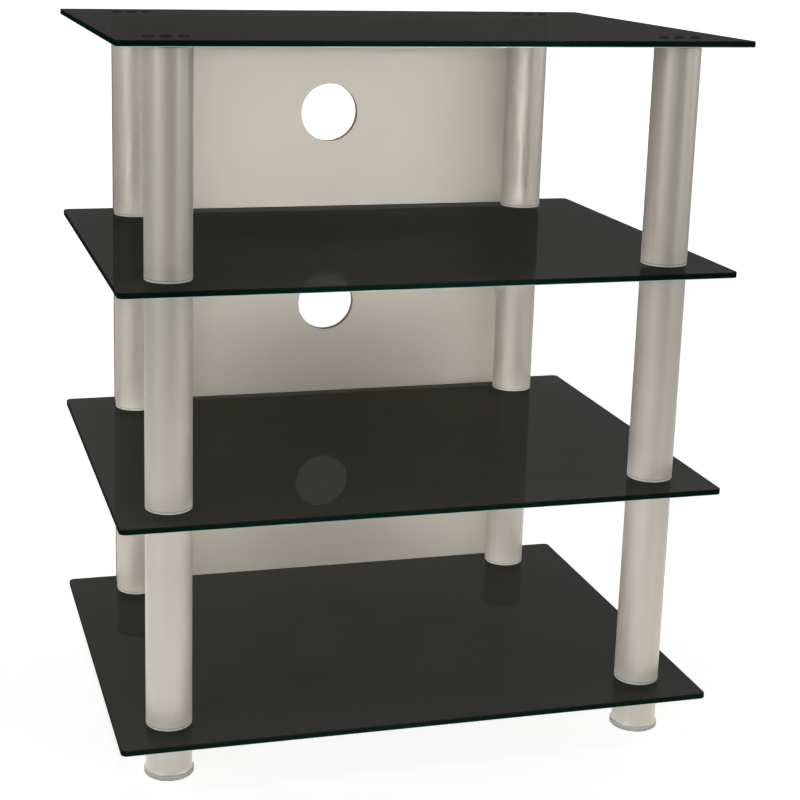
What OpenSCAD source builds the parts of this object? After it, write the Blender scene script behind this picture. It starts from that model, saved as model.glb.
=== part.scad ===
// Four-tier glass rack on silver tube posts, with a back panel in each bay.
// Millimetres. The origin is on the floor under the middle of the shelves,
// X runs along the width, the front faces -Y and Z points up.

/* [Glass shelves] */
// Width of every shelf
shelf_w = 600; // [560:5:900]
// Depth of every shelf
shelf_d = 443; // [400:1:600]
// Thickness of the glass
glass_t = 6; // [5:0.5:10]
// Corner radius of the three lower shelves
corner_r = 6; // [3:0.5:20]
// Corner radius of the top shelf
top_corner_r = 3; // [2:0.5:20]
// Width of the small polished slope on each glass edge
arris = 0.7; // [0.3:0.1:1.2]
// Clear height between two shelves
bay_h = 214; // [160:1:320]
// Hole in the glass for a stud and its bush
glass_hole_d = 12; // [11:0.5:16]

/* [Posts] */
// Outside diameter of the post tubes
tube_d = 45; // [40:0.5:60]
// Wall of the post tubes
tube_wall = 1.5; // [1:0.1:3]
// Front post centre, in from the side edge of the glass
front_inset_x = 54; // [40:1:90]
// Front post centre, in from the front edge of the glass
front_inset_y = 54; // [40:1:90]
// Rear post centre, in from the side edge of the glass
rear_inset_x = 74; // [40:1:120]
// Rear post centre, in from the back edge of the glass
rear_inset_y = 41; // [36:1:80]

/* [End plugs] */
// Flange of the plug at the lower end of a post
flange_t = 1.8; // [1:0.1:3]
// Slope on the rim of that flange
flange_slope = 0.6; // [0.2:0.1:0.9]
// Height of the lobed head at the upper end of a post
head_h = 3; // [2.9:0.1:6]
// Number of lobes on the head
lobes = 4; // [3:1:8]
// Radius of one lobe
lobe_r = 6; // [4:0.5:7]
// How far the lobes stay inside the outside of the tube
lobe_inset = 0.3; // [0.1:0.1:0.8]
// Length of a plug inside the tube
plug_l = 18; // [17:1:30]
// Wall of the plug skirt and thickness of its ribs
plug_wall = 1.6; // [1.2:0.1:3]
// Thickness of the plug's cross plate
plug_plate = 2; // [1.5:0.1:3]
// Diameter of the plug's hub
hub_d = 17; // [15.5:0.5:20]
// Number of ribs between hub and skirt
plug_ribs = 6; // [3:1:8]
// How far the ribs end below the skirt's rim
rib_drop = 1; // [0.5:0.5:4]

/* [Studs] */
// Diameter of the threaded studs
stud_d = 8; // [6:0.5:8]
// Outside diameter of the threaded insert in a plug
insert_d = 12; // [10:0.5:13]
// Length of that insert
insert_l = 15; // [10:1:16]
// How far a stud reaches into an insert
stud_reach = 13; // [8:1:15]
// Slope on the ends of a stud
stud_slope = 1; // [0.5:0.1:2]
// Depth of the groove round an insert
groove = 0.6; // [0.3:0.1:1]
// Diameter of the disc bonded under the top shelf
disc_d = 30; // [20:1:30]
// Thickness of that disc
disc_t = 2.4; // [1.5:0.1:2.6]

/* [Feet] */
// Height from the floor to the underside of the base shelf
foot_h = 46; // [44:1:90]
// Height of the flared glide under a foot tube, with its pad
glide_h = 10.5; // [8:0.5:12]
// Diameter of the flare at its widest
glide_d = 48.6; // [46:0.1:64]
// Height of the straight rim below the flare
glide_rim = 0.6; // [0.3:0.1:1.2]
// Thickness of the soft pad under the glide
pad_t = 4; // [2:0.5:5]
// Slope on the lower rim of the pad
pad_slope = 0.8; // [0.3:0.1:1.5]
// Length of the glide inside the tube
glide_l = 10; // [6:1:12]
// Diameter of the peg that locates the pad in the glide
peg_d = 12; // [8:1:20]

/* [Back panels] */
// Thickness of a back panel
panel_t = 8; // [5:0.5:12]
// How far a panel's side edge stays inside the outside of the rear posts
panel_inset = 2.5; // [0:0.5:10]
// Diameter of the cable hole
cable_hole_d = 65; // [40:1:100]
// Height of a panel's lower and upper screws from the ends of the bay
screw_inset = 36; // [30:1:70]
// Shank diameter of the panel screws
screw_d = 3.4; // [3:0.1:5]
// Head diameter of the panel screws
screw_head_d = 7.6; // [6.5:0.1:10]
// Head height of the panel screws
screw_head_h = 2.4; // [1.8:0.1:3]
// Length of thread past the wall of the post
screw_tip = 4; // [2:0.5:8]
// Width of the slots in the cross recess of a screw head
recess_w = 1; // [0.6:0.1:1.4]
// Length of those slots
recess_l = 4; // [2:0.1:4.4]

/* [Clearances] */
// Gap round a plug in its tube
plug_fit = 0.1; // [0.05:0.05:0.3]
// Gap round a stud in its insert
thread_fit = 0.1; // [0.05:0.05:0.3]
// Gap round an insert in its hub
insert_fit = 0.05; // [0.05:0.05:0.2]
// Gap round a bush in the glass, and round a stud in its bush
bush_fit = 0.15; // [0.05:0.05:0.3]
// Gap between a panel and the glass, and between a panel and the posts
panel_fit = 0.3; // [0.2:0.1:1]
// Gap round a disc in the lobed head, and under it
disc_fit = 0.3; // [0.2:0.1:0.3]
// Gap round a screw in the panel
screw_fit = 0.3; // [0.1:0.1:0.5]

/* [Hidden] */

$fn = 64;
// Overlap that keeps a cut from ending exactly on a face
cut = 1;
// Number of steps in the curve of the flare
flare_steps = 8;
// Tip of a panel screw and crown of its head, as shares of their diameters
point_share = 0.3;
crown_share = 0.6;

glass_color = "#262826";
tube_color = "#b9b6ad";
flange_color = "#c9ccca";
head_color = "#202020";
metal_color = "#9a9a96";
brass_color = "#b5a05a";
pad_color = "#8d9192";
panel_color = "#b8b2a4";
bush_color = "#e6e6e2";

// Underside of a shelf: level 0 is the base shelf and level 3 the top shelf
pitch = glass_t + bay_h;
function shelf_z(level) = foot_h + level * pitch;
// Floor of the bay above that shelf
function bay_z(level) = shelf_z(level) + glass_t;

// Post centres
front_x = shelf_w / 2 - front_inset_x;
front_y = -shelf_d / 2 + front_inset_y;
rear_x = shelf_w / 2 - rear_inset_x;
rear_y = shelf_d / 2 - rear_inset_y;
FRONT_LEFT = [-front_x, front_y];
FRONT_RIGHT = [front_x, front_y];
REAR_LEFT = [-rear_x, rear_y];
REAR_RIGHT = [rear_x, rear_y];
POSTS = [FRONT_LEFT, FRONT_RIGHT, REAR_LEFT, REAR_RIGHT];

// Post tubes stand between a flange below and a lobed head above
tube_id = tube_d - 2 * tube_wall;
tube_l = bay_h - flange_t - head_h;
foot_tube_l = foot_h - glide_h - head_h;
skirt_d = tube_id - 2 * plug_fit;
insert_hole_r = insert_d / 2 + insert_fit;

// Panels stand behind the rear posts
panel_w = 2 * (rear_x + tube_d / 2 - panel_inset);
panel_h = bay_h - 2 * panel_fit;
panel_y = rear_y + tube_d / 2 + panel_fit;
screw_zs = [screw_inset, bay_h - screw_inset];

// A vertical post position repeated for all four posts
module at_posts(z) {
    for (p = POSTS)
        translate([p[0], p[1], z]) children();
}

// Glass plate with round corners and a small slope on every edge
module glass_plate(r) {
    x = shelf_w / 2;
    y = shelf_d / 2;
    rotate([90, 0, 90])
        linear_extrude(height = shelf_w - 2 * r, center = true)
            glass_profile(y);
    rotate([90, 0, 0])
        linear_extrude(height = shelf_d - 2 * r, center = true)
            glass_profile(x);
    for (sx = [-1, 1], sy = [-1, 1])
        translate([sx * (x - r), sy * (y - r), 0]) glass_corner(r);
}

// Section through the glass, with its half width
module glass_profile(half) {
    polygon([
        [-half + arris, 0],
        [half - arris, 0],
        [half, arris],
        [half, glass_t - arris],
        [half - arris, glass_t],
        [-half + arris, glass_t],
        [-half, glass_t - arris],
        [-half, arris]
    ]);
}

module glass_corner(r) {
    cylinder(r1 = r - arris, r2 = r, h = arris);
    translate([0, 0, arris]) cylinder(r = r, h = glass_t - 2 * arris);
    translate([0, 0, glass_t - arris]) cylinder(r1 = r, r2 = r - arris, h = arris);
}

// Shelf that studs pass through at the four posts
module drilled_shelf(level) {
    color(glass_color)
        difference() {
            translate([0, 0, shelf_z(level)]) glass_plate(corner_r);
            at_posts(shelf_z(level) - cut)
                cylinder(d = glass_hole_d, h = glass_t + 2 * cut);
        }
}

module top_shelf() {
    color(glass_color)
        translate([0, 0, shelf_z(3)]) glass_plate(top_corner_r);
}

// Open tube standing on z = 0
module tube(length) {
    difference() {
        cylinder(d = tube_d, h = length);
        translate([0, 0, -cut]) cylinder(d = tube_id, h = length + 2 * cut);
    }
}

module front_tube(level, post) {
    color(tube_color)
        translate([post[0], post[1], bay_z(level) + flange_t]) tube(tube_l);
}

// A rear tube has two pilot holes in its back wall for the panel screws
module rear_tube(level, post) {
    color(tube_color)
        difference() {
            translate([post[0], post[1], bay_z(level) + flange_t]) tube(tube_l);
            for (z = screw_zs)
                translate([post[0], post[1], bay_z(level) + z])
                    rotate([-90, 0, 0])
                        cylinder(d = screw_d + 2 * thread_fit, h = tube_d);
        }
}

module foot_tube(post) {
    color(tube_color)
        translate([post[0], post[1], glide_h]) tube(foot_tube_l);
}

// Turned section of a plug's inner part, upwards from its cross plate at height z
function plug_points(z) = [
    [skirt_d / 2, z],
    [skirt_d / 2, z + plug_l],
    [skirt_d / 2 - plug_wall, z + plug_l],
    [skirt_d / 2 - plug_wall, z + plug_plate],
    [hub_d / 2, z + plug_plate],
    [hub_d / 2, z + plug_l],
    [insert_hole_r, z + plug_l]
];

// Ribs that tie the hub to the skirt, upwards from the cross plate at height z
module plug_rib_set(z) {
    inner = (insert_hole_r + hub_d / 2) / 2;
    outer = skirt_d / 2 - plug_wall / 2;
    for (i = [0 : plug_ribs - 1])
        rotate([0, 0, (i + 0.5) * 360 / plug_ribs])
            translate([inner, -plug_wall / 2, z + plug_plate / 2])
                cube([outer - inner, plug_wall, plug_l - plug_plate / 2 - rib_drop]);
}

// Plug of the lower end: its flange stands on the glass
module bottom_plug() {
    rotate_extrude()
        polygon(concat(
            [
                [insert_hole_r, 0],
                [tube_d / 2 - flange_slope, 0],
                [tube_d / 2, flange_slope],
                [tube_d / 2, flange_t]
            ],
            plug_points(flange_t)
        ));
    plug_rib_set(flange_t);
}

// Head of separate lobes on a round floor, from z = 0 up: the lobes carry the glass
module lobed_head() {
    reach = tube_d / 2 - lobe_inset - lobe_r;
    linear_extrude(height = head_h)
        union() {
            circle(d = disc_d);
            for (i = [0 : lobes - 1])
                rotate([0, 0, i * 360 / lobes])
                    translate([0, -reach]) circle(r = lobe_r);
        }
}

// Plug of the upper end: the tube's end face is at z = 0
module top_plug() {
    recess_h = disc_t + disc_fit;
    difference() {
        lobed_head();
        translate([0, 0, head_h - recess_h])
            cylinder(d = disc_d + 2 * disc_fit, h = recess_h + cut);
        translate([0, 0, -cut]) cylinder(r = insert_hole_r, h = head_h + cut);
    }
    mirror([0, 0, 1]) {
        rotate_extrude() polygon(concat([[insert_hole_r, 0]], plug_points(0)));
        plug_rib_set(0);
    }
}

module bottom_plugs(level) {
    color(flange_color) at_posts(bay_z(level)) bottom_plug();
}

// Upper end of the tubes below a shelf
module top_plugs(level) {
    color(head_color) at_posts(shelf_z(level) - head_h) top_plug();
}

// Threaded insert with a shallow groove round its middle, from z = 0 up
module insert() {
    difference() {
        cylinder(d = insert_d, h = insert_l);
        translate([0, 0, -cut])
            cylinder(d = stud_d + 2 * thread_fit, h = insert_l + 2 * cut);
        translate([0, 0, insert_l / 3])
            difference() {
                cylinder(d = insert_d + cut, h = insert_l / 3);
                translate([0, 0, -cut]) cylinder(d = insert_d - 2 * groove, h = insert_l);
            }
    }
}

module bottom_inserts(level) {
    color(brass_color) at_posts(bay_z(level)) insert();
}

module top_inserts(level) {
    color(brass_color)
        at_posts(shelf_z(level) - disc_t - disc_fit - insert_l) insert();
}

// Stud with a slope at each end, from z = 0 up
module stud(length) {
    cylinder(d1 = stud_d - 2 * stud_slope, d2 = stud_d, h = stud_slope);
    translate([0, 0, stud_slope]) cylinder(d = stud_d, h = length - 2 * stud_slope);
    translate([0, 0, length - stud_slope])
        cylinder(d1 = stud_d, d2 = stud_d - 2 * stud_slope, h = stud_slope);
}

// A stud joins the insert above the glass to the insert below it
module shelf_studs(level) {
    below = disc_t + disc_fit + stud_reach;
    color(metal_color)
        at_posts(shelf_z(level) - below) stud(below + glass_t + stud_reach);
}

// Disc bonded to the underside of the top glass, with its own stud
module top_shelf_discs() {
    color(metal_color)
        at_posts(shelf_z(3)) {
            translate([0, 0, -disc_t]) cylinder(d = disc_d, h = disc_t);
            translate([0, 0, -disc_t - stud_reach]) cylinder(d = stud_d, h = stud_reach + disc_t / 2);
        }
}

// Sleeve that keeps a stud off the glass
module shelf_bushes(level) {
    color(bush_color)
        at_posts(shelf_z(level))
            difference() {
                cylinder(d = glass_hole_d - 2 * bush_fit, h = glass_t);
                translate([0, 0, -cut])
                    cylinder(d = stud_d + 2 * bush_fit, h = glass_t + 2 * cut);
            }
}

// Hollow curve from the rim up to the outside of the tube, for a flare of height h
function flare_points(h) = [
    for (i = [0 : flare_steps])
        let (a = 90 * i / flare_steps)
            [
                glide_d / 2 - (glide_d - tube_d) / 2 * sin(a),
                glide_rim + (h - glide_rim) * (1 - cos(a))
            ]
];

// Flared glide pressed into the lower end of a foot tube
module glide(post) {
    flare_h = glide_h - pad_t;
    peg_hole_r = peg_d / 2 + plug_fit;
    color(tube_color)
        translate([post[0], post[1], pad_t])
            rotate_extrude()
                polygon(concat(
                    [[peg_hole_r, 0], [glide_d / 2, 0]],
                    flare_points(flare_h),
                    [
                        [skirt_d / 2, flare_h],
                        [skirt_d / 2, flare_h + glide_l],
                        [skirt_d / 2 - plug_wall, flare_h + glide_l],
                        [skirt_d / 2 - plug_wall, plug_plate],
                        [peg_hole_r, plug_plate]
                    ]
                ));
}

// Soft pad under the glide, with a peg that locates it
module pad(post) {
    color(pad_color)
        translate([post[0], post[1], 0]) {
            cylinder(d1 = glide_d - 2 * pad_slope, d2 = glide_d, h = pad_slope);
            translate([0, 0, pad_slope]) cylinder(d = glide_d, h = pad_t - pad_slope);
            cylinder(d = peg_d, h = pad_t + plug_plate);
        }
}

// Back panel of one bay, with its cable hole and four screw holes
module back_panel(level) {
    color(panel_color)
        difference() {
            translate([-panel_w / 2, panel_y, bay_z(level) + panel_fit])
                cube([panel_w, panel_t, panel_h]);
            translate([0, panel_y - cut, bay_z(level) + bay_h / 2])
                rotate([-90, 0, 0]) cylinder(d = cable_hole_d, h = panel_t + 2 * cut);
            for (x = [-rear_x, rear_x], z = screw_zs)
                translate([x, panel_y - cut, bay_z(level) + z])
                    rotate([-90, 0, 0])
                        cylinder(d = screw_d + 2 * screw_fit, h = panel_t + 2 * cut);
        }
}

// Panel screw along Y: the head's seat is at y = 0 and the tip points to the front
module panel_screw() {
    shank_l = panel_t + panel_fit + tube_wall + screw_tip;
    rotate([90, 0, 0]) {
        cylinder(d = screw_d, h = shank_l);
        translate([0, 0, shank_l]) cylinder(d1 = screw_d, d2 = screw_d * point_share, h = screw_d);
    }
    difference() {
        rotate([-90, 0, 0])
            cylinder(d1 = screw_head_d, d2 = screw_head_d * crown_share, h = screw_head_h);
        for (a = [0, 90])
            rotate([0, a, 0])
                translate([-recess_l / 2, screw_head_h / 2, -recess_w / 2])
                    cube([recess_l, screw_head_h, recess_w]);
    }
}

module panel_screws(level) {
    color(metal_color)
        for (x = [-rear_x, rear_x], z = screw_zs)
            translate([x, panel_y + panel_t, bay_z(level) + z]) panel_screw();
}

top_shelf();
drilled_shelf(2);  // upper_shelf
drilled_shelf(1);  // lower_shelf
drilled_shelf(0);  // base_shelf

front_tube(2, FRONT_LEFT);  // upper_tube_front_left
front_tube(2, FRONT_RIGHT);  // upper_tube_front_right
rear_tube(2, REAR_LEFT);  // upper_tube_rear_left
rear_tube(2, REAR_RIGHT);  // upper_tube_rear_right
front_tube(1, FRONT_LEFT);  // middle_tube_front_left
front_tube(1, FRONT_RIGHT);  // middle_tube_front_right
rear_tube(1, REAR_LEFT);  // middle_tube_rear_left
rear_tube(1, REAR_RIGHT);  // middle_tube_rear_right
front_tube(0, FRONT_LEFT);  // lower_tube_front_left
front_tube(0, FRONT_RIGHT);  // lower_tube_front_right
rear_tube(0, REAR_LEFT);  // lower_tube_rear_left
rear_tube(0, REAR_RIGHT);  // lower_tube_rear_right

foot_tube(FRONT_LEFT);  // foot_tube_front_left
foot_tube(FRONT_RIGHT);  // foot_tube_front_right
foot_tube(REAR_LEFT);  // foot_tube_rear_left
foot_tube(REAR_RIGHT);  // foot_tube_rear_right
glide(FRONT_LEFT);  // glide_front_left
glide(FRONT_RIGHT);  // glide_front_right
glide(REAR_LEFT);  // glide_rear_left
glide(REAR_RIGHT);  // glide_rear_right
pad(FRONT_LEFT);  // pad_front_left
pad(FRONT_RIGHT);  // pad_front_right
pad(REAR_LEFT);  // pad_rear_left
pad(REAR_RIGHT);  // pad_rear_right

bottom_plugs(2);  // upper_tube_bottom_plugs
bottom_plugs(1);  // middle_tube_bottom_plugs
bottom_plugs(0);  // lower_tube_bottom_plugs
top_plugs(3);  // upper_tube_top_plugs
top_plugs(2);  // middle_tube_top_plugs
top_plugs(1);  // lower_tube_top_plugs
top_plugs(0);  // foot_tube_top_plugs

bottom_inserts(2);  // upper_tube_bottom_inserts
bottom_inserts(1);  // middle_tube_bottom_inserts
bottom_inserts(0);  // lower_tube_bottom_inserts
top_inserts(3);  // upper_tube_top_inserts
top_inserts(2);  // middle_tube_top_inserts
top_inserts(1);  // lower_tube_top_inserts
top_inserts(0);  // foot_tube_top_inserts

top_shelf_discs();
shelf_studs(2);  // upper_shelf_studs
shelf_studs(1);  // lower_shelf_studs
shelf_studs(0);  // base_shelf_studs
shelf_bushes(2);  // upper_shelf_bushes
shelf_bushes(1);  // lower_shelf_bushes
shelf_bushes(0);  // base_shelf_bushes

back_panel(2);  // upper_panel
back_panel(1);  // middle_panel
back_panel(0);  // lower_panel
panel_screws(2);  // upper_panel_screws
panel_screws(1);  // middle_panel_screws
panel_screws(0);  // lower_panel_screws
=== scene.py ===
"""Looks of the four-tier glass rack: camera, light, floor and a material for every piece."""

import math

import bpy
from mathutils import Matrix, Vector


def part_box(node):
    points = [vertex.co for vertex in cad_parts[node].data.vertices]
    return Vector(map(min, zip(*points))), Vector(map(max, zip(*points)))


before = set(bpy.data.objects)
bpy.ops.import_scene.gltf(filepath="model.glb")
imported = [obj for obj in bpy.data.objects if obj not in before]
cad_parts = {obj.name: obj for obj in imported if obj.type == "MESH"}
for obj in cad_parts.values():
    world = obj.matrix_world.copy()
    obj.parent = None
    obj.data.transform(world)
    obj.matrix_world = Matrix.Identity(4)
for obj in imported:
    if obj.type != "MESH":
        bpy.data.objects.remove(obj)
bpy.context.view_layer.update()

# Lengths are in metres, angles in degrees and lamps in watts. A name that ends in FADE holds two values:
# where something starts to change and where it has changed.

TIERS = ("upper", "middle", "lower")
DRILLED_SHELVES = ("upper", "lower", "base")
CORNERS = ("front_left", "front_right", "rear_left", "rear_right")

# Camera: where it stands, where it looks, its lens and its small shift
CAMERA_AT = (-0.502, -1.716, 0.8255)
CAMERA_YAW = 15.03
CAMERA_PITCH = 13.8
CAMERA_ROLL = 1.27
LENS_MM = 78.6
SENSOR_MM = 36.0
SHIFT_X = 0.08
SHIFT_Y = -0.08

# Light of the world. Its fades are parts of a direction: x to the right, y to the back and z up. None comes
# from a gap in front, whose middle is at GAP_X
SIDE_LIGHT = 3.0
BACK_LIGHT = 1.63
GAP_X = 0.1
GAP_FADE = (0.25, 0.6)
BACK_FADE = (-0.1, 0.3)
SIDE_HEIGHT_FADE = (0.08, 0.34)
BACK_HEIGHT_FADE = (0.26, 0.5)

# Floor: its size and tone, the glow that is seen on it, and the light that it throws up at the object, which
# has a smaller share right under it. The fades are distances from the middle
FLOOR_SIZE = 60.0
FLOOR_GREY = 0.86
FLOOR_GLOW = 0.785
WHITE_FADE = (1.5, 4.0)
TABLE_LIGHT = 1.09
TABLE_FADE = (0.3, 2.6)
UNDER_SHARE = 0.9
UNDER_FADE = (0.15, 0.55)

# Heights that the lamps aim at, and those between which a beam lights a post
MIDDLE_Z = 0.35
LOW_Z = 0.17
TOP_Z = 0.7
PANELS_Z = (0.38, 0.74)
WHOLE_POST_Z = (0.03, 0.73)
LOWEST_BAY_Z = (0.04, 0.28)
FRONT_RIGHT_Z = (0.05, 0.55)
FRONT_LEFT_Z = (0.04, 0.44)

# Places of the posts, to the side and to the back
REAR_X = 0.226
REAR_Y = 0.18
FRONT_X = 0.246
FRONT_Y = -0.167

# Rise of a lamp that hangs all but straight above its aim
OVERHEAD = 100.0

# Zones of a glass plate, by how level it is: 0 on its walls, 1 on the upper face and -1 on the lower one
FACE_FADE = (0.85, 0.95)
WALL_FADE = (0.25, 0.45)
ARRIS_FADE = (-0.35, -0.3)

# Painted marks of the lobes on the top glass, in place of their image through it: radius, distance between
# them, half length and what a mark at the side loses of it, shift from the post, softness, and slant, which
# grows to the right
LOBE_R = 0.0052
LOBE_REACH = 0.0162
MARK_HALF = 0.016
MARK_TAPER = 0.3
MARK_SHIFT = (-0.003, -0.008)
MARK_BLUR = 0.0008
MARK_SLANT = 0.32
SLANT_GROWTH = 0.64

# Painted light: a pale zone painted at the lower end of a tube, in place of light that glass throws back, a
# wide
# and a near part: how far up it reaches and how strong it is
PAINTED_LIGHT_WIDE = (0.035, 0.20)
PAINTED_LIGHT_NEAR = (0.011, 0.6)

# Darker line at the lower end of a tube: its height and its tone
CUT_LINE = 0.0014
CUT_TONE = 0.6

# Painted light on the rim of a foot, paler towards the floor
FOOT_PAINTED_LIGHT_FADE = (0.0045, 0.009)
FOOT_PAINTED_LIGHT = 0.2

# Range that holds most of a noise
NOISE_SPAN = (0.3, 0.7)


def make_camera():
    """The photograph's viewing angle."""
    data = bpy.data.cameras.new("camera")
    data.sensor_width = SENSOR_MM
    data.lens = LENS_MM
    data.shift_x = SHIFT_X
    data.shift_y = SHIFT_Y
    data.clip_start = 0.05
    data.clip_end = 200.0
    camera = bpy.data.objects.new("camera", data)
    turn = Matrix.Rotation(math.radians(-CAMERA_YAW), 4, "Z")
    tilt = Matrix.Rotation(math.radians(90.0 - CAMERA_PITCH), 4, "X")
    roll = Matrix.Rotation(math.radians(CAMERA_ROLL), 4, "Z")
    camera.matrix_world = Matrix.Translation(CAMERA_AT) @ turn @ tilt @ roll
    bpy.context.scene.collection.objects.link(camera)
    bpy.context.scene.camera = camera


def set_inputs(tree, node, inputs):
    """Gives each input of a node its value, or links it to the socket that feeds it."""
    for name, value in inputs.items():
        if isinstance(value, bpy.types.NodeSocket):
            tree.links.new(value, node.inputs[name])
        else:
            node.inputs[name].default_value = value


def add_node(tree, kind, inputs=None, **settings):
    """A node with its settings and inputs."""
    node = tree.nodes.new(kind)
    for name, value in settings.items():
        setattr(node, name, value)
    set_inputs(tree, node, inputs or {})
    return node


def maths(tree, operation, *values):
    """The result of one calculation on values or sockets."""
    return add_node(tree, "ShaderNodeMath", dict(enumerate(values)), operation=operation).outputs[0]


def product(tree, first, second):
    """Two values multiplied."""
    return maths(tree, "MULTIPLY", first, second)


def mix_value(tree, share, first, second):
    """Two values mixed by a share."""
    return add_node(tree, "ShaderNodeMix", {0: share, 2: first, 3: second}, data_type="FLOAT").outputs[0]


def mix_colour(tree, share, first, second, blend="MIX"):
    """Two colours mixed by a share."""
    inputs = {0: share, 6: first, 7: second}
    return add_node(tree, "ShaderNodeMix", inputs, data_type="RGBA", blend_type=blend).outputs[2]


def srgb(red, green, blue):
    """A colour given as it looks on screen, from 0 to 255."""
    def linear(c):
        c /= 255.0
        return c / 12.92 if c <= 0.04045 else ((c + 0.055) / 1.055) ** 2.4
    return linear(red), linear(green), linear(blue), 1.0


def place(tree):
    """The place on the object, in its own metres."""
    return add_node(tree, "ShaderNodeTexCoord").outputs["Object"]


def parts(tree, vector):
    """The x, y and z of a vector."""
    return tuple(add_node(tree, "ShaderNodeSeparateXYZ", {"Vector": vector}).outputs)


def grain(tree, scale, detail=3.0, roughness=0.55, stretch=(1.0, 1.0, 1.0)):
    """Noise over the place on the object, its scale multiplied along each axis."""
    mapping = add_node(tree, "ShaderNodeMapping", {"Vector": place(tree), "Scale": stretch})
    inputs = {"Vector": mapping.outputs[0], "Scale": scale, "Detail": detail, "Roughness": roughness}
    return add_node(tree, "ShaderNodeTexNoise", inputs).outputs[0]


def ranged(tree, value, span, to_low, to_high):
    """A value mapped from a span of two values to another range, and held inside it."""
    inputs = {"Value": value, "From Min": span[0], "From Max": span[1], "To Min": to_low, "To Max": to_high}
    return add_node(tree, "ShaderNodeMapRange", inputs).outputs[0]


def bump(tree, height, distance, strength, under=None):
    """A bump of a height from 0 to 1, where 1 stands distance metres high, over the one under it."""
    inputs = {"Height": height, "Distance": distance, "Strength": strength}
    if under is not None:
        inputs["Normal"] = under
    return add_node(tree, "ShaderNodeBump", inputs).outputs[0]


def surface(name, plain):
    """A new material, its node tree and its Principled shader with plain values set on it."""
    material = bpy.data.materials.new(name)
    material.use_nodes = True
    tree = material.node_tree
    shader = tree.nodes["Principled BSDF"]
    set_inputs(tree, shader, plain)
    return material, tree, shader


def facing(tree):
    """How far the surface faces along x, y and z, from -1 to 1."""
    return parts(tree, add_node(tree, "ShaderNodeNewGeometry").outputs["True Normal"])


def painted_head_marks(tree, posts):
    """1 inside three long painted marks over each post: a painted image of the lobes of a plug head as
    refraction shows them through the glass.
    """
    x, y, _ = parts(tree, place(tree))
    nearest = None
    for post_x, post_y in posts:
        aside = maths(tree, "SUBTRACT", x, post_x + MARK_SHIFT[0])
        depth = maths(tree, "SUBTRACT", y, post_y + MARK_SHIFT[1])
        lean = product(tree, depth, MARK_SLANT + SLANT_GROWTH * post_x)
        across = maths(tree, "ABSOLUTE", maths(tree, "SUBTRACT", aside, lean))
        beside = maths(tree, "ABSOLUTE", maths(tree, "SUBTRACT", across, LOBE_REACH))
        half = maths(tree, "SUBTRACT", MARK_HALF, product(tree, across, MARK_TAPER))
        past = maths(tree, "MAXIMUM", maths(tree, "SUBTRACT", maths(tree, "ABSOLUTE", depth), half), 0.0)
        wide = maths(tree, "POWER", maths(tree, "MINIMUM", across, beside), 2.0)
        away = maths(tree, "ADD", wide, maths(tree, "POWER", past, 2.0))
        nearest = away if nearest is None else maths(tree, "MINIMUM", nearest, away)
    rim = (LOBE_R - MARK_BLUR, LOBE_R + MARK_BLUR)
    return ranged(tree, maths(tree, "SQRT", nearest), rim, 1.0, 0.0)


def smoked_glass(name, dark, light, coat, alpha, posts=()):
    """Dark tinted plate glass: tinted faces, green-black polished edges, and a lower arris painted bright as
    a painted reflection of the white floor.

    The edges are solid from outside and as clear as the faces from inside. Dark opaque marks are painted on
    the upper face of the top glass over the posts, in place of the lobes of the plug heads that refraction
    would show there."""
    plain = {"Coat Weight": coat, "Coat Roughness": 0.03, "Specular IOR Level": 0.0}
    material, tree, shader = surface(name, plain)
    _, _, up = facing(tree)
    level = maths(tree, "ABSOLUTE", up)
    on_face = ranged(tree, level, FACE_FADE, 0.0, 1.0)
    smear = grain(tree, 14.0, detail=5.0, stretch=(1.0, 2.6, 1.0))
    face = mix_colour(tree, smear, dark, light)

    inside = add_node(tree, "ShaderNodeNewGeometry").outputs["Backfacing"]
    on_edge = maths(tree, "SUBTRACT", 1.0, on_face)
    solid = product(tree, on_edge, maths(tree, "SUBTRACT", 1.0, inside))
    cover = maths(tree, "ADD", product(tree, solid, 1.0 - alpha), alpha)
    if posts:
        # painted marks: a painted image of the plug heads' lobes, dark and opaque on the upper face
        mark = product(tree, painted_head_marks(tree, posts), ranged(tree, up, FACE_FADE, 0.0, 1.0))
        face = mix_colour(tree, mark, face, srgb(28, 28, 27))
        cover = maths(tree, "MAXIMUM", cover, mark)

    wave = grain(tree, 30.0, stretch=(1.0, 1.0, 0.1))
    wall = mix_colour(tree, wave, srgb(2, 17, 14), srgb(4, 26, 21))
    # painted reflection: the lower arris is painted bright, the upper one brown
    painted_reflection_mask = ranged(tree, up, ARRIS_FADE, 1.0, 0.0)
    arris = mix_colour(tree, painted_reflection_mask, srgb(46, 34, 27), srgb(160, 190, 184))
    edge = mix_colour(tree, ranged(tree, level, WALL_FADE, 1.0, 0.0), arris, wall)

    dust = ranged(tree, grain(tree, 900.0, detail=2.0), (0.6, 0.8), 0.0, 0.03)
    rough = maths(tree, "ADD", ranged(tree, smear, (0.35, 0.7), 0.03, 0.075), dust)
    colour = mix_colour(tree, on_face, edge, face)
    set_inputs(tree, shader, {"Base Color": colour, "Alpha": cover, "Roughness": rough})
    return material


def post_centres():
    """Where the four posts stand, from the tubes of the upper tier."""
    centres = []
    for corner in CORNERS:
        low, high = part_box(f"upper_tube_{corner}")
        centres.append(((low[0] + high[0]) / 2, (low[1] + high[1]) / 2))
    return centres


def fading(tree, height, reach, strength):
    """A glow that falls off with height, to a third of its strength or so at its reach."""
    return product(tree, maths(tree, "EXPONENT", product(tree, height, -1.0 / reach)), strength)


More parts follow.
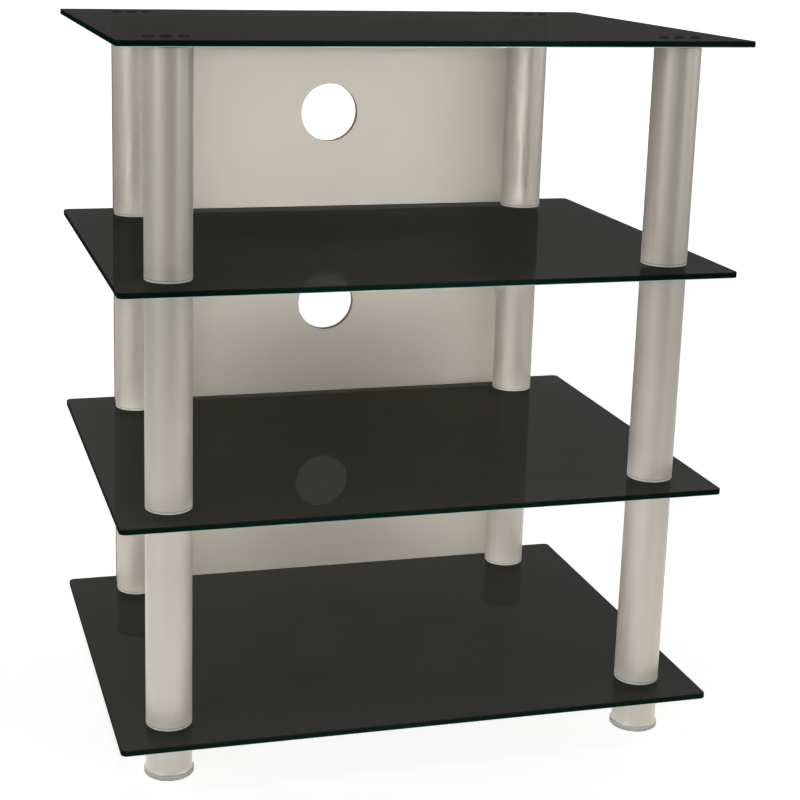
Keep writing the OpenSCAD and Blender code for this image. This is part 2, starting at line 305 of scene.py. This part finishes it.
def painted_end_light_and_cut_line(tree):
    """Painted light: how much paler a tube's colour is made close above a shelf, in place of the light that
    glass throws back at low angles, and on the rim of a foot towards the floor.

    The rounded edge of its cut end shows as a fine darker line over the flange."""
    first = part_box("base_shelf")[1][2]
    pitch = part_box("lower_shelf")[1][2] - first
    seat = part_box("lower_tube_front_left")[0][2] - first
    _, _, height = parts(tree, place(tree))
    above = maths(tree, "FLOORED_MODULO", maths(tree, "SUBTRACT", height, first), pitch)
    # painted light: paler close above each shelf, and on the rim of a foot near the floor
    pale = maths(tree, "ADD", fading(tree, above, *PAINTED_LIGHT_WIDE), fading(tree, above, *PAINTED_LIGHT_NEAR))
    foot = ranged(tree, height, FOOT_PAINTED_LIGHT_FADE, FOOT_PAINTED_LIGHT, 0.0)
    glow = maths(tree, "ADD", pale, maths(tree, "ADD", foot, 1.0))
    return product(tree, glow, ranged(tree, above, (seat + CUT_LINE / 2, seat + CUT_LINE), CUT_TONE, 1.0))


def satin_tube():
    """Satin aluminium tube: drawn lines along its length over a fine blasted grain."""
    material, tree, shader = surface("satin_tube", {"Metallic": 0.25})
    band = grain(tree, 55.0, detail=2.0, stretch=(1.0, 1.0, 0.02))
    line = grain(tree, 1500.0, stretch=(1.0, 1.0, 0.006))
    blast = grain(tree, 3200.0, detail=2.0)
    banded = ranged(tree, band, (0.35, 0.65), 0.0, 1.0)
    tone = mix_colour(tree, banded, srgb(171, 167, 158), srgb(178, 171, 158))
    # drawn lines, the painted light at the tube's lower ends, and the darker line of its cut end
    lines_and_painted_end_light = product(tree, ranged(tree, line, NOISE_SPAN, 0.965, 1.02), painted_end_light_and_cut_line(tree))
    drawn = bump(tree, line, distance=0.00002, strength=0.5)
    set_inputs(tree, shader, {
        "Base Color": mix_colour(tree, 1.0, tone, lines_and_painted_end_light, "MULTIPLY"),
        "Roughness": ranged(tree, line, NOISE_SPAN, 0.34, 0.40),
        "Normal": bump(tree, blast, distance=0.00002, strength=0.4, under=drawn),
    })
    return material


def moulded(name, colour, other, roughness, level):
    """Moulded plastic or rubber: a fine leathery texture with slow changes of tone."""
    material, tree, shader = surface(name, {"Specular IOR Level": level})
    cloud = grain(tree, 120.0)
    texture = grain(tree, 2400.0, roughness=0.6)
    set_inputs(tree, shader, {
        "Base Color": mix_colour(tree, cloud, colour, other),
        "Roughness": ranged(tree, texture, NOISE_SPAN, roughness - 0.06, roughness + 0.06),
        "Normal": bump(tree, texture, distance=0.00004, strength=0.6),
    })
    return material


def turned(name, colour, other, roughness):
    """Machined metal: rings left by the tool, in slices along the height."""
    material, tree, shader = surface(name, {"Metallic": 1.0})
    ring = grain(tree, 2600.0, detail=2.0, stretch=(0.05, 0.05, 1.0))
    spot = grain(tree, 260.0)
    set_inputs(tree, shader, {
        "Base Color": mix_colour(tree, spot, colour, other),
        "Roughness": ranged(tree, ring, NOISE_SPAN, roughness - 0.08, roughness + 0.08),
        "Normal": bump(tree, ring, distance=0.00003, strength=0.6),
    })
    return material


def grey_board():
    """Coated fibreboard: a matt warm-grey face with a faint stipple, and raw brown cut edges."""
    material, tree, shader = surface("grey_board", {"Specular IOR Level": 0.25})
    _, back, _ = facing(tree)
    on_face = ranged(tree, maths(tree, "ABSOLUTE", back), (0.45, 0.55), 0.0, 1.0)
    cloud = grain(tree, 9.0, detail=4.0)
    stipple = grain(tree, 1300.0)
    coating = mix_colour(tree, cloud, srgb(200, 194, 181), srgb(204, 198, 185))
    face = mix_colour(tree, 1.0, coating, ranged(tree, stipple, NOISE_SPAN, 0.975, 1.015), "MULTIPLY")
    fibre = grain(tree, 900.0, detail=4.0, roughness=0.7)
    raw = mix_colour(tree, fibre, srgb(104, 70, 40), srgb(160, 118, 76))
    rough_edge = ranged(tree, on_face, (0.0, 1.0), 0.8, 0.0)
    stippled = bump(tree, stipple, distance=0.00003, strength=0.5)
    set_inputs(tree, shader, {
        "Base Color": mix_colour(tree, on_face, raw, face),
        "Roughness": ranged(tree, on_face, (0.0, 1.0), 0.85, 0.55),
        "Normal": bump(tree, fibre, distance=0.00012, strength=rough_edge, under=stippled),
    })
    return material


def seen_rays(tree):
    """1 for rays from the camera and through glass, otherwise 0."""
    path = add_node(tree, "ShaderNodeLightPath")
    return maths(tree, "MAXIMUM", path.outputs["Is Camera Ray"], path.outputs["Is Transmission Ray"])


def make_world():
    """A white backdrop. The light it gives is a band at the height of the object, strong at the sides,
    weaker and taller behind, and none straight in front."""
    world = bpy.data.worlds.new("world")
    world.use_nodes = True
    tree = world.node_tree
    x, y, z = parts(tree, add_node(tree, "ShaderNodeTexCoord").outputs["Generated"])
    aside = maths(tree, "ABSOLUTE", maths(tree, "SUBTRACT", x, GAP_X))
    height = maths(tree, "ABSOLUTE", z)
    around = ranged(tree, aside, GAP_FADE, 0.0, SIDE_LIGHT)
    sides = product(tree, around, ranged(tree, height, SIDE_HEIGHT_FADE, 1.0, 0.0))
    behind = ranged(tree, height, BACK_HEIGHT_FADE, BACK_LIGHT, 0.0)
    given = mix_value(tree, ranged(tree, y, BACK_FADE, 0.0, 1.0), sides, behind)
    seen = seen_rays(tree)
    unseen = maths(tree, "SUBTRACT", 1.0, seen)
    strength = maths(tree, "ADD", product(tree, given, unseen), seen)
    set_inputs(tree, tree.nodes["Background"], {"Color": (1.0, 1.0, 1.0, 1.0), "Strength": strength})
    bpy.context.scene.world = world


def make_floor():
    """A pale floor, white but for the object's faint shadow. It also throws light up at the object."""
    mesh = bpy.data.meshes.new("floor")
    half = FLOOR_SIZE / 2
    corners = [(-half, -half, 0), (half, -half, 0), (half, half, 0), (-half, half, 0)]
    mesh.from_pydata(corners, [], [(0, 1, 2, 3)])
    floor = bpy.data.objects.new("floor", mesh)
    bpy.context.scene.collection.objects.link(floor)

    grey = (FLOOR_GREY, FLOOR_GREY, FLOOR_GREY, 1.0)
    plain = {"Base Color": grey, "Roughness": 0.9, "Specular IOR Level": 0.1}
    material, tree, shader = surface("floor", plain)
    reach = add_node(tree, "ShaderNodeVectorMath", {0: place(tree)}, operation="LENGTH").outputs["Value"]
    outer = ranged(tree, reach, TABLE_FADE, TABLE_LIGHT, 0.0)
    table = product(tree, outer, ranged(tree, reach, UNDER_FADE, UNDER_SHARE, 1.0))
    white = ranged(tree, reach, WHITE_FADE, FLOOR_GLOW, 1.0)
    strength = mix_value(tree, seen_rays(tree), table, white)
    glow = add_node(tree, "ShaderNodeEmission", {"Color": (1.0, 1.0, 1.0, 1.0), "Strength": strength})
    lit = add_node(tree, "ShaderNodeAddShader", {0: shader.outputs[0], 1: glow.outputs[0]})
    set_inputs(tree, tree.nodes["Material Output"], {"Surface": lit.outputs[0]})
    mesh.materials.append(material)


def add_lamp(name, aim, azimuth, width, height, watts, away=3.2, rise=0.0, spread=180.0):
    """A soft rectangular lamp aimed at a point, from an angle round it: 0 is the front and 90 the right.

    It stands rise metres higher for each metre out. A spread of a few degrees makes it a beam."""
    data = bpy.data.lights.new(name, "AREA")
    data.shape = "RECTANGLE"
    data.size = width
    data.size_y = height
    data.energy = watts
    data.spread = math.radians(spread)
    turn = math.radians(azimuth)
    way = Vector((math.sin(turn), -math.cos(turn), rise)).normalized()
    lamp = bpy.data.objects.new(name, data)
    lamp.location = Vector(aim) + away * way
    lamp.rotation_euler = (-way).to_track_quat("-Z", "Y").to_euler()
    bpy.context.scene.collection.objects.link(lamp)


def soft_lamp(name, azimuth, watts):
    """A softbox aimed at the middle of the object."""
    aim = (0.0, 0.0, MIDDLE_Z)
    add_lamp(name, aim, azimuth, width=1.2, height=1.0, watts=watts, away=3.9, rise=0.1)


def low_lamp(name, azimuth, watts):
    """A low flat beam on the lower part of the object."""
    add_lamp(name, (0.0, 0.0, LOW_Z), azimuth, width=0.8, height=0.30, watts=watts, spread=8.0)


def beam_lamp(name, x, y, heights, azimuth, width, watts, rise=0.0):
    """A narrow beam that lights a place between two heights."""
    low, high = heights
    add_lamp(name, (x, y, (low + high) / 2), azimuth, width, high - low, watts, rise=rise, spread=4.0)


def panel_lamp(name, x, azimuth, width, watts):
    """A beam on the upper and middle panel, from a little above so that no glass edge mirrors it."""
    beam_lamp(name, x, REAR_Y, PANELS_Z, azimuth, width, watts, rise=0.08)


def make_lamps():
    """Softboxes on both sides in front, low beams for the lower part, and beams into the bays."""
    soft_lamp("left_side", azimuth=-62.0, watts=12.6)
    soft_lamp("left", azimuth=-48.0, watts=6.6)
    soft_lamp("left_front", azimuth=-34.0, watts=1.8)
    soft_lamp("right_front", azimuth=36.0, watts=12.5)
    soft_lamp("right", azimuth=50.0, watts=2.2)
    soft_lamp("right_side", azimuth=80.0, watts=8.6)
    low_lamp("low_left", azimuth=-60.0, watts=0.16)
    low_lamp("low_left_front", azimuth=-30.0, watts=0.06)
    low_lamp("low_right_front", azimuth=30.0, watts=0.046)
    panel_lamp("panels", x=0.0, azimuth=0.0, width=0.28, watts=0.165)
    panel_lamp("panels_left", x=-0.15, azimuth=14.0, width=0.08, watts=0.014)
    panel_lamp("panels_right", x=0.15, azimuth=-14.0, width=0.08, watts=0.018)
    beam_lamp("rear_left", -REAR_X, REAR_Y, WHOLE_POST_Z, azimuth=-30.0, width=0.12, watts=0.042)
    beam_lamp("rear_left_right", -REAR_X, REAR_Y, WHOLE_POST_Z, azimuth=20.0, width=0.12, watts=0.025)
    beam_lamp("rear_right", REAR_X, REAR_Y, WHOLE_POST_Z, azimuth=-22.0, width=0.10, watts=0.048)
    beam_lamp("rear_right_left", REAR_X, REAR_Y, WHOLE_POST_Z, azimuth=-38.0, width=0.10, watts=0.048)
    beam_lamp("rear_left_low", -REAR_X, REAR_Y, LOWEST_BAY_Z, azimuth=20.0, width=0.12, watts=0.02)
    beam_lamp("rear_right_low", REAR_X, REAR_Y, LOWEST_BAY_Z, azimuth=-38.0, width=0.10, watts=0.017)
    beam_lamp("post_right", FRONT_X, FRONT_Y, FRONT_RIGHT_Z, azimuth=-103.0, width=0.08, watts=0.045)
    beam_lamp("post_left", -FRONT_X, FRONT_Y, FRONT_LEFT_Z, azimuth=62.0, width=0.08, watts=0.03)
    add_lamp("top", (0.0, 0.0, TOP_Z), azimuth=0.0, width=1.6, height=1.6, watts=9.0, away=1.9, rise=OVERHEAD)


def dress(material, *names):
    """Gives CAD nodes their material."""
    for name in names:
        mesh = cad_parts[name].data
        mesh.materials.clear()
        mesh.materials.append(material)


def dress_shelves():
    """The four glass shelves: one glass given a tone for each shelf that paints out the light it gets, paler
    where a shelf is more shaded and darker for the top glass under the top lamp, so that they look alike.
    """
    # painted light: the same glass in four tones, each set for the light that its shelf gets
    upper = smoked_glass("smoked_glass", srgb(74, 75, 70), srgb(80, 81, 75), coat=0.018, alpha=0.87)
    lower = smoked_glass("smoked_glass_low_painted_paler", srgb(85, 86, 80), srgb(91, 91, 85), coat=0.018, alpha=0.87)
    base = smoked_glass("smoked_glass_base", srgb(76, 77, 71), srgb(82, 82, 76), coat=0.035, alpha=0.88)
    top = smoked_glass(
        "smoked_glass_top_painted_darker", srgb(67, 66, 64), srgb(73, 72, 69), coat=0.014, alpha=0.93, posts=post_centres()
    )
    dress(upper, "upper_shelf")
    dress(lower, "lower_shelf")
    dress(base, "base_shelf")
    dress(top, "top_shelf")


def dress_posts():
    """The tubes, their end plugs and feet."""
    tube = satin_tube()
    flange = moulded("pale_plastic", srgb(226, 230, 227), srgb(233, 235, 231), roughness=0.5, level=0.2)
    head = moulded("black_plastic", srgb(24, 24, 24), srgb(32, 32, 31), roughness=0.5, level=0.4)
    sole = moulded("grey_rubber", srgb(138, 140, 138), srgb(146, 147, 144), roughness=0.8, level=0.15)
    for corner in CORNERS:
        dress(tube, *(f"{tier}_tube_{corner}" for tier in TIERS), f"foot_tube_{corner}", f"glide_{corner}")
        dress(sole, f"pad_{corner}")
    dress(flange, *(f"{tier}_tube_bottom_plugs" for tier in TIERS))
    dress(head, *(f"{tier}_tube_top_plugs" for tier in TIERS), "foot_tube_top_plugs")


def dress_fixings():
    """The small metal and nylon pieces that hold the rack together."""
    sleeve = moulded("natural_nylon", srgb(226, 225, 216), srgb(216, 215, 205), roughness=0.5, level=0.4)
    brass = turned("insert_brass", srgb(198, 168, 96), srgb(182, 150, 82), roughness=0.32)
    steel = turned("zinc_steel", srgb(186, 189, 192), srgb(168, 172, 178), roughness=0.34)
    for tier in TIERS:
        dress(brass, f"{tier}_tube_bottom_inserts", f"{tier}_tube_top_inserts")
        dress(steel, f"{tier}_panel_screws")
    dress(brass, "foot_tube_top_inserts")
    dress(steel, "top_shelf_discs")
    for shelf in DRILLED_SHELVES:
        dress(steel, f"{shelf}_shelf_studs")
        dress(sleeve, f"{shelf}_shelf_bushes")


make_camera()
make_world()
make_floor()
make_lamps()
dress_shelves()
dress_posts()
dress_fixings()
dress(grey_board(), *(f"{tier}_panel" for tier in TIERS))

bpy.context.scene.view_settings.view_transform = "Standard"
